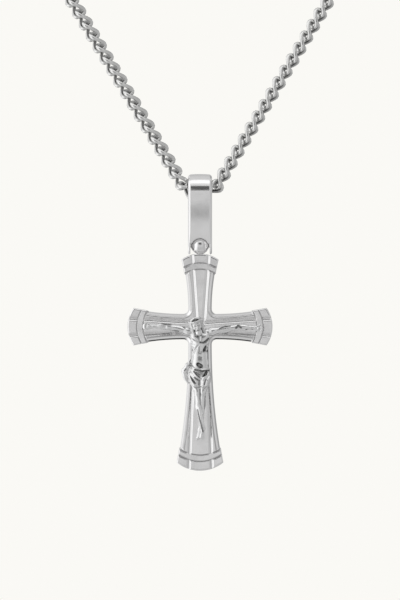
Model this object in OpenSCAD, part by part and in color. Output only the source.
// Crucifix pendant on a curb chain, hanging as it is worn.
// The origin is at the underside of the clasp, where the loop hangs at the nape of the neck.
// +Z is up, +X is to the viewer's right, and the front of the pendant faces -Y.

/* [Chain] */
// Length of the whole loop along its middle line, clasp included
chain_l = 450; // [380:5:560]
// Width of the curb links across the chain
chain_w = 2; // [1.5:0.1:2.3]
// Angle of each hanging side to the vertical, in degrees
chain_slope = 31; // [25:1:37]
// Room between the chain's bend and the edges of the bail
bend_slack = 0.5; // [0.3:0.1:1.2]

/* [Clasp] */
// Length of the clasp's barrel
clasp_l = 10; // [8:0.5:16]
// Diameter of the clasp's barrel
clasp_d = 3.2; // [2.4:0.1:4.4]
// Wire diameter of the ring at each end of the clasp
ring_wire = 0.6; // [0.5:0.05:0.8]
// Diameter of the hole in each end ring
ring_hole = 1.2; // [1:0.1:1.8]

/* [Bail] */
// Width of the bail, seen from the front
bail_w = 3.6; // [3:0.1:4.6]
// Wall of the bail's strap
bail_wall = 0.8; // [0.5:0.05:1.1]
// Distance from the bail's top to the hinge axis
bail_drop = 10.65; // [9:0.05:14]
// Width of the chamfer along the edges of the strap
bail_edge = 0.25; // [0.1:0.05:0.35]

/* [Hinge] */
// Diameter of the ball that hangs in the bail
ball_d = 2.8; // [2.4:0.1:2.8]
// Diameter of the hinge pin
pin_d = 0.8; // [0.6:0.05:1]
// Radius of the two cheeks that hold the pin
cheek_r = 1.5; // [1.3:0.05:1.8]
// Height of the crown of the fork's arch over the hinge axis
arch_rise = 1.05; // [0.9:0.05:1.3]

/* [Cross] */
// Thickness of the cross
cross_t = 1.6; // [1.2:0.1:1.8]
// Distance from the hinge axis down to the middle of the cross
cross_drop = 12.25; // [11.5:0.05:15]
// Reach of each side arm from the middle of the cross
side_reach = 10.87; // [9.5:0.05:14]
// Reach of the foot from the middle of the cross
foot_reach = 21.6; // [20:0.1:28]
// Half the width of a side arm at its root
side_root = 1.85; // [1.6:0.05:2.2]
// Half the width of a side arm at its end
side_end = 2.82; // [2.6:0.02:3.4]
// Half the width of the upright post where the side arms cross it
post_root = 1.7; // [1.5:0.05:2.2]
// Half the width of the top arm at its end
top_end = 2.8; // [2.6:0.05:3.4]
// Half the width of the foot at its end
foot_end = 3.5; // [3.1:0.05:4.2]
// How far the rounded end of a short arm stands out past its corners
short_bulge = 0.91; // [0.6:0.05:1.2]
// How far the rounded end of the foot stands out past its corners
foot_bulge = 1.26; // [0.8:0.05:1.6]
// Radius in the four inner corners
inner_r = 0.6; // [0.3:0.05:0.9]

/* [Engraving] */
// Width of the long grooves
groove_w = 0.8; // [0.5:0.05:1]
// Depth of the long grooves
groove_t = 0.3; // [0.15:0.05:0.5]
// Width of the scored arcs near the arm ends
score_w = 0.25; // [0.15:0.05:0.35]
// Depth of the scored arcs
score_t = 0.12; // [0.08:0.02:0.2]
// Distance of the inner scored arc from the arm's end
score_in = 2.35; // [2:0.05:2.8]
// Distance of the outer scored arc from the arm's end
score_out = 1.4; // [1:0.05:1.6]
// Width of the bevel along the arms' long edges
bevel_w = 0.6; // [0.3:0.05:0.8]
// Depth of that bevel at the edge
bevel_t = 0.7; // [0.3:0.05:0.9]
// How far the bevelled edge stands in from the end caps
bevel_step = 0.2; // [0.1:0.02:0.3]

/* [Figure] */
// Height of the figure from the crown of the head to the toes
figure_h = 18.5; // [16:0.1:20]
// Reach of the figure's hands from its middle
figure_reach = 9.2; // [8:0.1:9.8]
// How far the figure stands out from the cross
figure_t = 2.3; // [1.8:0.1:2.8]
// Height of the crown of the head over the middle of the cross
figure_top = 1.45; // [1:0.05:2]

/* [Fits] */
// Gap between pieces that only lie against each other
seat_gap = 0.05; // [0.03:0.01:0.1]
// Gap round the ball and round the pin in the ball
turn_gap = 0.05; // [0.04:0.01:0.08]
// Gap round the pin where the cheeks hold it
pin_gap = 0.02; // [0.01:0.01:0.04]
// Gap between the chain and the eye of the bail
eye_gap = 0.2; // [0.12:0.02:0.4]
// Gap between the cross and the cheeks as the cross swings
swing_gap = 0.15; // [0.12:0.01:0.3]

/* [Hidden] */
silver = [0.83, 0.83, 0.82];
$fn = 64;
past = 1;

// The loop: a round top, two straight sides and a small bend at the bottom.
bend_r = bail_w / 2 + chain_w / 2 + bend_slack;
bend_arc = bend_r * (180 - 2 * chain_slope) * PI / 180;
cut_corner = 2 * bend_r / tan(chain_slope);
loop_share = (180 + 2 * chain_slope) * PI / 180 + 2 / tan(chain_slope);
loop_r = (chain_l + cut_corner - bend_arc) / loop_share;

// The clasp lies across the top of the loop with a ring at each end.
ring_mid = (ring_hole + ring_wire) / 2;
ring_sink = 0.15;
ring_x = clasp_l / 2 + ring_mid - ring_sink;
clasp_end = ring_x + ring_mid + ring_wire / 2;
clasp_z = clasp_d / 2;
clasp_round = clasp_d / 5;
chain_start = asin((clasp_end + seat_gap) / loop_r);

// Heights, from the top of the loop downwards.
loop_z = clasp_z - loop_r * cos(chain_start);
bend_z = loop_z - loop_r / sin(chain_slope) + bend_r / sin(chain_slope);
chain_low = bend_z - bend_r - chain_w / 2;
chain_high = bend_z - sqrt(pow(bend_r - chain_w / 2, 2) - pow(bail_w / 2, 2));
eye_z = (chain_low + chain_high) / 2;
eye_r = (chain_high - chain_low) / 2 + eye_gap;
bail_top_r = eye_r + bail_wall;
hinge_z = eye_z + bail_top_r - bail_drop;
cross_z = hinge_z - cross_drop;

// The hinge.
ball_r = ball_d / 2;
pin_r = pin_d / 2;
slot_half = ball_r + turn_gap;
arch_spring = 0.45;
arch_r = (pow(slot_half, 2) + pow(arch_rise - arch_spring, 2)) / (2 * (arch_rise - arch_spring));
hollow_low_z = slot_half + bail_wall + 0.5;

// The top arm ends inside the ball, just clear of the pin.
top_reach = cross_drop - ball_r + 0.1;
// The cross stands back a little, so that it hangs upright with the figure's weight in front.
cross_back = 0.25;
cross_front_y = cross_back - cross_t / 2;

// One row for each arm of the cross. Half widths are taken before the bevel steps them in, the
// flare starts where the inner corner ends, and the grooves' offsets are shares of the half widths.
A_TURN = 0;
A_REACH = 1;
A_ROOT = 2;
A_END = 3;
A_BULGE = 4;
A_START = 5;
A_GROOVE_ROOT = 6;
A_GROOVE_END = 7;
side_half = side_root + bevel_step;
post_half = post_root + bevel_step;
side_flare = post_half + inner_r;
post_flare = side_half + inner_r;
ARMS = [
    [0, side_reach, side_half, side_end, short_bulge, side_flare, 0.28, 0.46],
    [90, top_reach, post_half, top_end, short_bulge, post_flare, 0.26, 0.45],
    [180, side_reach, side_half, side_end, short_bulge, side_flare, 0.28, 0.46],
    [270, foot_reach, post_half, foot_end, foot_bulge, post_flare, 0.42, 0.5],
];

// Rings along the chain. Each station holds x, z and the turn of the route from its top.
arc_steps = 22;
side_steps = 11;
bend_steps = 5;
tube_sides = 8;
function ring_station(centre_z, r, turn) = [r * sin(turn), centre_z + r * cos(turn), turn];
function arc_stations() = [
    for (i = [0 : arc_steps])
        ring_station(loop_z, loop_r, chain_start + (90 + chain_slope - chain_start) * i / arc_steps)
];
function side_stations() =
    let (
        from = ring_station(loop_z, loop_r, 90 + chain_slope),
        to = ring_station(bend_z, bend_r, 90 + chain_slope)
    )
    [for (i = [1 : side_steps]) from + (to - from) * i / side_steps];
function bend_stations() = [
    for (i = [1 : bend_steps])
        ring_station(bend_z, bend_r, 90 + chain_slope + (90 - chain_slope) * i / bend_steps)
];
function half_route() = concat(arc_stations(), side_stations(), bend_stations());
function whole_route(half = half_route()) = concat(
    half,
    [for (i = [len(half) - 2 : -1 : 0]) [-half[i][0], half[i][1], 360 - half[i][2]]]
);
function ring_point(station, r, around) = [
    station[0] + r * cos(around) * sin(station[2]),
    r * sin(around),
    station[1] + r * cos(around) * cos(station[2])
];

module chain() {
    route = whole_route();
    rings = len(route);
    n = tube_sides;
    points = [
        for (s = route)
            for (j = [0 : n - 1])
                ring_point(s, chain_w / 2, 360 * (j + 0.5) / n)
    ];
    walls = [
        for (i = [0 : rings - 2])
            for (j = [0 : n - 1])
                let (k = (j + 1) % n)
                [i * n + j, (i + 1) * n + j, (i + 1) * n + k, i * n + k]
    ];
    first_cap = [for (j = [0 : n - 1]) j];
    last_cap = [for (j = [n - 1 : -1 : 0]) (rings - 1) * n + j];
    color(silver)
        polyhedron(points, concat(walls, [first_cap, last_cap]), convexity = 8);
}

module clasp() {
    color(silver)
        translate([0, 0, clasp_z]) {
            rotate([0, 90, 0])
                rotate_extrude()
                    polygon([
                        [0, -clasp_l / 2],
                        [clasp_d / 2 - clasp_round, -clasp_l / 2],
                        [clasp_d / 2, -clasp_l / 2 + clasp_round],
                        [clasp_d / 2, clasp_l / 2 - clasp_round],
                        [clasp_d / 2 - clasp_round, clasp_l / 2],
                        [0, clasp_l / 2],
                    ]);
            for (side = [-1, 1])
                translate([side * ring_x, 0, 0])
                    rotate([90, 0, 0])
                        rotate_extrude()
                            translate([ring_mid, 0])
                                circle(ring_wire / 2, $fn = 24);
        }
}

// A teardrop seen from the side: a circle at the eye, a smaller one below it, and the two tangents.
module side_profile(top_r, low_r, drop) {
    lean = asin((top_r - low_r) / drop);
    circle(top_r);
    translate([0, -drop])
        circle(low_r);
    polygon([
        [top_r * cos(lean), -top_r * sin(lean)],
        [-top_r * cos(lean), -top_r * sin(lean)],
        [-low_r * cos(lean), -drop - low_r * sin(lean)],
        [low_r * cos(lean), -drop - low_r * sin(lean)],
    ]);
}

// Extrudes a side profile, drawn with its axis at the eye, across the bail's width.
module across(width) {
    rotate([90, 0, 90])
        translate([0, 0, -width / 2])
            linear_extrude(width)
                children();
}

// Bail strap without its openings; each outer layer of the width is a little smaller, as a chamfer.
module bail_blank() {
    drop = eye_z - hinge_z;
    steps = 3;
    for (i = [0 : steps])
        let (inset = bail_edge * (1 - cos(90 * i / steps)), cut = bail_edge * (1 - sin(90 * i / steps)))
        across(bail_w - 2 * inset)
            side_profile(bail_top_r - cut, cheek_r - cut, drop);
}

module bail() {
    drop = eye_z - hinge_z;
    hollow_low_r = cheek_r + (bail_top_r - cheek_r) * hollow_low_z / drop - bail_wall;
    color(silver)
        difference() {
            translate([0, 0, eye_z])
                bail_blank();
            translate([0, 0, eye_z])
                across(bail_w + 2 * past)
                    side_profile(eye_r, hollow_low_r, drop - hollow_low_z);
            translate([0, 0, hinge_z]) {
                sphere(slot_half);
                rotate([90, 0, 0])
                    translate([0, 0, -bail_top_r - past])
                        linear_extrude(2 * (bail_top_r + past))
                            fork_opening();
                rotate([0, 90, 0])
                    cylinder(h = bail_w + 2 * past, r = pin_r + pin_gap, center = true);
            }
        }
}

// The opening of the fork seen from the front: straight sides under a low arch.
module fork_opening() {
    translate([-slot_half, -cheek_r - past])
        square([2 * slot_half, cheek_r + past + arch_spring]);
    intersection() {
        translate([0, arch_rise - arch_r])
            circle(arch_r);
        translate([-slot_half, 0])
            square([2 * slot_half, arch_rise + past]);
    }
}

module hinge_pin() {
    color(silver)
        translate([0, 0, hinge_z])
            rotate([0, 90, 0])
                cylinder(h = bail_w, r = pin_r, center = true);
}

// Radius of an arc from its chord's half width and its rise, or from a tangent start to a rise.
function arc_radius(half_chord, rise) = (pow(half_chord, 2) + pow(rise, 2)) / (2 * rise);
function flare_r(arm) = arc_radius(arm[A_REACH] - arm[A_BULGE] - arm[A_START], arm[A_END] - arm[A_ROOT]);
function cap_r(arm) = arc_radius(arm[A_END], arm[A_BULGE]);

// Outline of one arm along +X: a straight root, hollow flaring sides and a rounded end.
module arm_outline(arm) {
    cap_x = arm[A_REACH] - cap_r(arm);
    reach_r = arm[A_END] + past;
    translate([0, -arm[A_ROOT]])
        square([arm[A_START], 2 * arm[A_ROOT]]);
    difference() {
        union() {
            translate([arm[A_START], -reach_r])
                square([cap_x - arm[A_START], 2 * reach_r]);
            intersection() {
                translate([cap_x, 0])
                    circle(cap_r(arm));
                translate([cap_x, -reach_r])
                    square([cap_r(arm) + past, 2 * reach_r]);
            }
        }
        for (side = [-1, 1])
            translate([arm[A_START], side * (arm[A_ROOT] + flare_r(arm))])
                circle(flare_r(arm), $fn = 128);
    }
}

// Fills the corner between two arms, leaving a round hollow.
module inner_corner(x, y) {
    difference() {
        translate([x - inner_r, y - inner_r])
            square(2 * inner_r);
        translate([x + inner_r, y + inner_r])
            circle(inner_r);
    }
}

module cross_outline() {
    for (arm = ARMS)
        rotate(arm[A_TURN])
            arm_outline(arm);
    for (side = [0, 1])
        mirror([side, 0]) {
            inner_corner(post_half, side_half);
            mirror([0, 1])
                inner_corner(post_half, side_half);
        }
}

// Region of an arm within a given distance of its end, for cuts that stop at a scored arc.
module arm_tip_zone(arm, inset) {
    difference() {
        translate([0, -arm[A_END] - past])
            square([arm[A_REACH] + past, 2 * (arm[A_END] + past)]);
        union() {
            translate([arm[A_REACH] - inset - cap_r(arm), 0])
                circle(cap_r(arm));
            translate([-past, -arm[A_END] - past])
                square([arm[A_REACH] - inset - cap_r(arm) + past, 2 * (arm[A_END] + past)]);
        }
    }
}

// A long groove on each side of the arm's middle line, with a plain band between the scored arcs.
module arm_grooves(arm) {
    from = arm[A_ROOT] * arm[A_GROOVE_ROOT];
    to = arm[A_END] * arm[A_GROOVE_END];
    spread = atan((to - from) / arm[A_REACH]);
    difference() {
        for (side = [-1, 1])
            translate([0, side * from, cross_t])
                rotate([0, 0, side * spread])
                    rotate([90, 0, 90])
                        linear_extrude(arm[A_REACH] + past)
                            polygon([
                                [-groove_w / 2, past / 4],
                                [-groove_w / 2, 0],
                                [-groove_w / 4, -groove_t],
                                [groove_w / 4, -groove_t],
                                [groove_w / 2, 0],
                                [groove_w / 2, past / 4],
                            ]);
        linear_extrude(cross_t + past)
            difference() {
                arm_tip_zone(arm, score_in - score_w / 4);
                arm_tip_zone(arm, score_out + score_w / 4);
            }
    }
}

// The two scored arcs, each a ring with a V section.
module arm_scores(arm) {
    r = cap_r(arm);
    half_turn = asin(min(1, (arm[A_END] + past / 4) / r));
    for (inset = [score_in, score_out])
        translate([arm[A_REACH] - inset - r, 0, cross_t])
            rotate([0, 0, -half_turn])
                rotate_extrude(angle = 2 * half_turn)
                    polygon([
                        [r - score_w / 2, past / 4],
                        [r - score_w / 2, 0],
                        [r, -score_t],
                        [r + score_w / 2, 0],
                        [r + score_w / 2, past / 4],
                    ]);
}

// Section of the bevel, drawn from the arm's edge at 0 inwards along +X with the face at 0.
module bevel_section() {
    polygon([
        [-past / 2, past / 2],
        [bevel_step + bevel_w, past / 2],
        [bevel_step + bevel_w, 0],
        [bevel_step, -bevel_t],
        [bevel_step, -cross_t - past / 2],
        [-past / 2, -cross_t - past / 2],
    ]);
}

// Carries the bevel round the inner corner between two arms.
module corner_bevel(x, y) {
    translate([x + inner_r, y + inner_r, cross_t])
        rotate([0, 0, 180])
            rotate_extrude(angle = 90)
                translate([inner_r, 0])
                    bevel_section();
}

// Bevels both long edges of an arm, from its root up to the inner scored arc.
module arm_bevels(arm) {
    r = flare_r(arm);
    turn = asin((arm[A_REACH] - arm[A_START]) / r);
    difference() {
        for (side = [0, 1])
            mirror([0, side, 0])
                translate([arm[A_START], arm[A_ROOT] + r, cross_t])
                    rotate([0, 0, -90])
                        rotate_extrude(angle = turn, $fn = 128)
                            translate([r, 0])
                                bevel_section();
        translate([0, 0, -past])
            linear_extrude(cross_t + 2 * past)
                arm_tip_zone(arm, score_in + score_w / 4);
    }
}

// The cross lying on its back: middle at the origin, top towards +Y, front towards +Z.
module cross_plate() {
    difference() {
        linear_extrude(cross_t)
            cross_outline();
        for (arm = ARMS)
            rotate(arm[A_TURN]) {
                arm_grooves(arm);
                arm_scores(arm);
                arm_bevels(arm);
            }
        for (side = [0, 1])
            mirror([side, 0, 0]) {
                corner_bevel(post_half, side_half);
                mirror([0, 1, 0])
                    corner_bevel(post_half, side_half);
            }
    }
}

module cross() {
    color(silver)
        difference() {
            union() {
                difference() {
                    translate([0, cross_front_y + cross_t, cross_z])
                        rotate([90, 0, 0])
                            cross_plate();
                    translate([0, 0, hinge_z])
                        for (side = [-1, 1])
                            translate([side * (ball_r + bail_w / 2 + past / 2), 0, 0])
                                rotate([0, 90, 0])
                                    cylinder(h = bail_w + past, r = cheek_r + swing_gap, center = true);
                }
                translate([0, 0, hinge_z])
                    sphere(ball_r);
            }
            translate([0, 0, hinge_z])
                rotate([0, 90, 0])
                    cylinder(h = bail_w + 2 * past, r = pin_r + turn_gap, center = true);
        }
}

// Columns of the figure's tables: across and down as shares of its reach and height,
// out as a share of its thickness, and a radius as a share of its height.
F_ACROSS = 0;
F_DOWN = 1;
F_OUT = 2;
F_R = 3;
HEAD = [
    [-0.07, 0.045, 0.66, 0.036],
    [-0.055, 0.085, 0.74, 0.056],
    [-0.03, 0.135, 0.72, 0.05],
    [0.0, 0.185, 0.68, 0.026],
];
TRUNK = [
    [0, 0.15, 0.42, 0.034],
    [0, 0.19, 0.42, 0.066],
    [0, 0.25, 0.42, 0.077],
    [0, 0.32, 0.4, 0.068],
    [-0.005, 0.38, 0.38, 0.062],
];
LEFT_ARM = [
    [-0.17, 0.125, 0.34, 0.036],
    [-0.32, 0.105, 0.3, 0.029],
    [-0.54, 0.085, 0.26, 0.026],
    [-0.78, 0.08, 0.22, 0.021],
    [-0.86, 0.077, 0.2, 0.02],
    [-0.96, 0.077, 0.2, 0.021],
];
RIGHT_ARM = [
    [0.19, 0.13, 0.34, 0.036],
    [0.36, 0.115, 0.3, 0.029],
    [0.6, 0.09, 0.26, 0.026],
    [0.84, 0.092, 0.22, 0.021],
    [0.93, 0.096, 0.2, 0.02],
    [1.02, 0.1, 0.2, 0.021],
];
SHOULDERS = [
    [-0.17, 0.125, 0.34, 0.036],
    [0, 0.185, 0.42, 0.05],
    [0.19, 0.13, 0.34, 0.036],
];
CLOTH = [
    [-0.06, 0.405, 0.38, 0.068],
    [-0.02, 0.45, 0.44, 0.075],
    [-0.02, 0.5, 0.46, 0.068],
];
CLOTH_END = [
    [-0.19, 0.405, 0.38, 0.032],
    [-0.215, 0.455, 0.36, 0.03],
    [-0.225, 0.525, 0.3, 0.018],
];
LEFT_LEG = [
    [-0.1, 0.47, 0.42, 0.05],
    [-0.075, 0.58, 0.6, 0.04],
    [-0.07, 0.62, 0.6, 0.036],
    [-0.045, 0.7, 0.44, 0.035],
    [0.02, 0.82, 0.4, 0.027],
    [0.05, 0.905, 0.42, 0.021],
    [0.03, 0.975, 0.46, 0.022],
];
RIGHT_LEG = [
    [0.06, 0.47, 0.42, 0.05],
    [0.045, 0.58, 0.54, 0.04],
    [0.05, 0.62, 0.54, 0.036],
    [0.055, 0.7, 0.34, 0.034],
    [0.03, 0.82, 0.24, 0.027],
    [0.0, 0.905, 0.24, 0.021],
    [0.0, 0.96, 0.34, 0.022],
];
FIGURE = [HEAD, TRUNK, LEFT_ARM, RIGHT_ARM, SHOULDERS, CLOTH, CLOTH_END, LEFT_LEG, RIGHT_LEG];
figure_fn = 14;

module figure_ball(row) {
    translate([
        row[F_ACROSS] * figure_reach,
        figure_top - row[F_DOWN] * figure_h,
        row[F_OUT] * figure_t
    ])
        sphere(row[F_R] * figure_h, $fn = figure_fn);
}

// A limb is drawn through its rows, one after the other.
module limb(rows) {
    for (i = [0 : len(rows) - 2])
        hull() {
            figure_ball(rows[i]);
            figure_ball(rows[i + 1]);
        }
}

module corpus() {
    room = figure_h + figure_reach;
    color(silver)
        translate([0, cross_front_y, cross_z])
            rotate([90, 0, 0])
                intersection() {
                    union()
                        for (rows = FIGURE)
                            limb(rows);
                    translate([-room, -room, seat_gap])
                        cube([2 * room, 2 * room, room]);
                }
}

chain();
clasp();
bail();
hinge_pin();
cross();
corpus();
